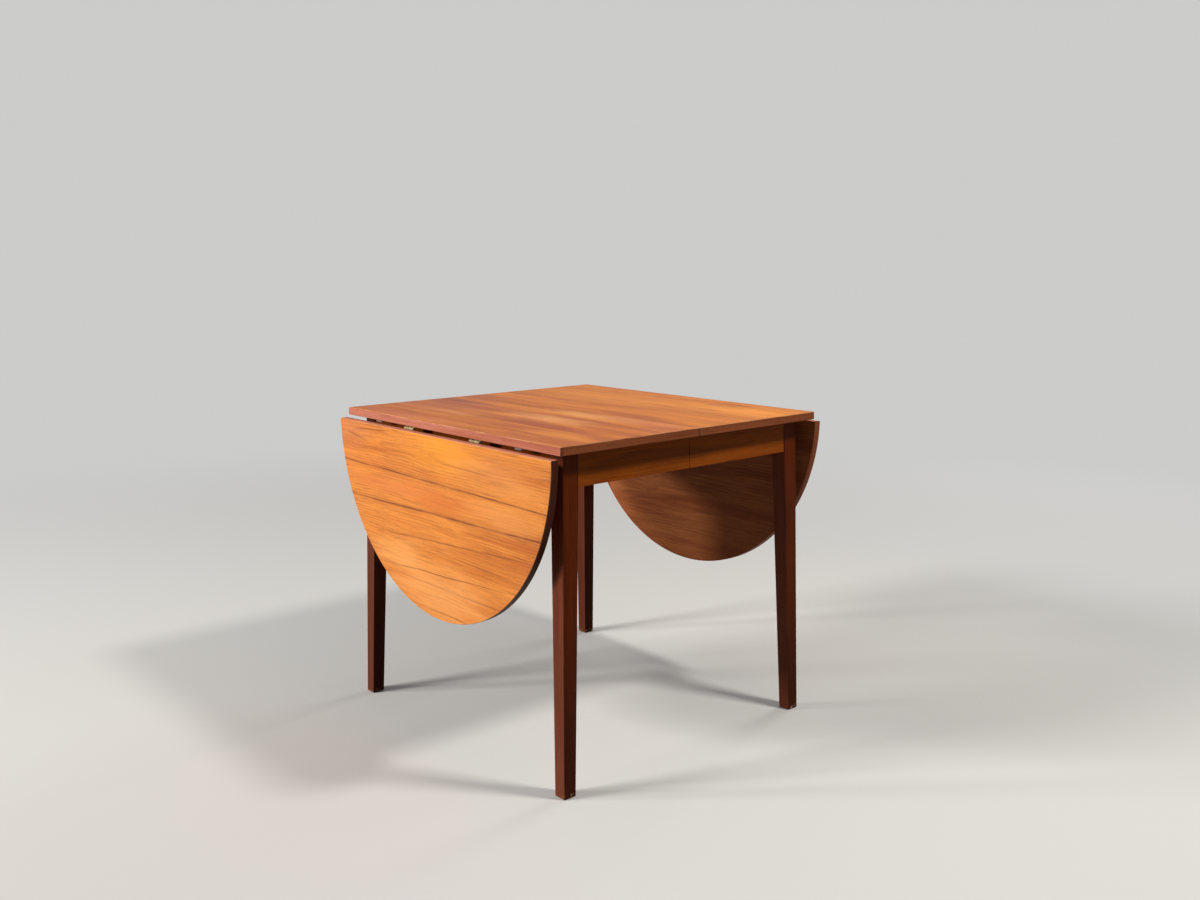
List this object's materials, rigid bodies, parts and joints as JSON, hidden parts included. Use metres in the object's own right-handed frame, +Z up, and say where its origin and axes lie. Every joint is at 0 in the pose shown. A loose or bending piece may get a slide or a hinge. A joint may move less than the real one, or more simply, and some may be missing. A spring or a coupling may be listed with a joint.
{
  "type": "extending dining table",
  "caption": "Square wooden dining table whose split top slides apart on runners, with a half-round drop leaf hinged at each end.",
  "frame": {"origin": "on the floor, below the middle of the closed top", "axes": "+X from the left leaf to the right leaf, along the slide; +Y along the hinges, from front to back; +Z up"},
  "size_m": [0.853, 0.87, 0.73],
  "materials": {
    "top_veneer": "teak veneer, satin varnish",
    "leaf_veneer": "teak veneer, satin varnish",
    "lipping": "solid wood, satin varnish",
    "frame_wood": "stained solid wood, satin varnish",
    "inside_wood": "bare planed hardwood",
    "brass": "dull pressed brass",
    "steel": "plain zinc-plated steel"
  },
  "bodies": {
    "left_frame": {"top_panel_left": "top_veneer", "outer_lipping_left": "lipping", "inner_lipping_left": "lipping", "front_lipping_left": "lipping", "back_lipping_left": "lipping", "leg_left_front": "frame_wood", "leg_left_back": "frame_wood", "end_apron_left": "frame_wood", "side_apron_left_front": "frame_wood", "side_apron_left_back": "frame_wood", "corner_block_left_front": "inside_wood", "corner_block_left_back": "inside_wood", "grooved_runner_front": "inside_wood", "grooved_runner_back": "inside_wood", "batten_left": "inside_wood", "dowels": "inside_wood", "stop_pins": "steel", "bar_guides_left": "steel", "hinge_plate_left_front": "brass", "hinge_plate_left_back": "brass", "hinge_pins_left": "brass", "small_screws_left": "brass", "frame_screws_left": "steel"},
    "right_frame": {"top_panel_right": "top_veneer", "outer_lipping_right": "lipping", "inner_lipping_right": "lipping", "front_lipping_right": "lipping", "back_lipping_right": "lipping", "leg_right_front": "frame_wood", "leg_right_back": "frame_wood", "end_apron_right": "frame_wood", "side_apron_right_front": "frame_wood", "side_apron_right_back": "frame_wood", "corner_block_right_front": "inside_wood", "corner_block_right_back": "inside_wood", "tongued_runner_front": "inside_wood", "tongued_runner_back": "inside_wood", "batten_right": "inside_wood", "bar_guides_right": "steel", "hinge_plate_right_front": "brass", "hinge_plate_right_back": "brass", "hinge_pins_right": "brass", "small_screws_right": "brass", "frame_screws_right": "steel"},
    "left_leaf": {"leaf_panel_left": "leaf_veneer", "leaf_curved_lipping_left": "lipping", "leaf_hinge_lipping_left": "lipping", "leaf_hinge_plate_left_front": "brass", "leaf_hinge_plate_left_back": "brass", "leaf_screws_left": "brass"},
    "right_leaf": {"leaf_panel_right": "leaf_veneer", "leaf_curved_lipping_right": "lipping", "leaf_hinge_lipping_right": "lipping", "leaf_hinge_plate_right_front": "brass", "leaf_hinge_plate_right_back": "brass", "leaf_screws_right": "brass"},
    "left_front_bar": {"support_bar_left_front": "steel"},
    "left_back_bar": {"support_bar_left_back": "steel"},
    "right_front_bar": {"support_bar_right_front": "steel"},
    "right_back_bar": {"support_bar_right_back": "steel"}
  },
  "joints": [
    {"name": "top_slide", "type": "slide", "parent": "left_frame", "child": "right_frame", "axis": [1, 0, 0], "range_m": [0, 0.45]},
    {"name": "left_leaf_hinge", "type": "hinge", "parent": "left_frame", "child": "left_leaf", "pos_m": [-0.40225, 0, 0.7057], "axis": [0, 1, 0], "range_deg": [-7, 92]},
    {"name": "right_leaf_hinge", "type": "hinge", "parent": "right_frame", "child": "right_leaf", "pos_m": [0.40225, 0, 0.7057], "axis": [0, -1, 0], "range_deg": [-7, 92]},
    {"name": "left_front_bar_slide", "type": "slide", "parent": "left_frame", "child": "left_front_bar", "axis": [-1, 0, 0], "range_m": [0, 0.22]},
    {"name": "left_back_bar_slide", "type": "slide", "parent": "left_frame", "child": "left_back_bar", "axis": [-1, 0, 0], "range_m": [0, 0.22]},
    {"name": "right_front_bar_slide", "type": "slide", "parent": "right_frame", "child": "right_front_bar", "axis": [1, 0, 0], "range_m": [0, 0.22]},
    {"name": "right_back_bar_slide", "type": "slide", "parent": "right_frame", "child": "right_back_bar", "axis": [1, 0, 0], "range_m": [0, 0.22]}
  ]
}
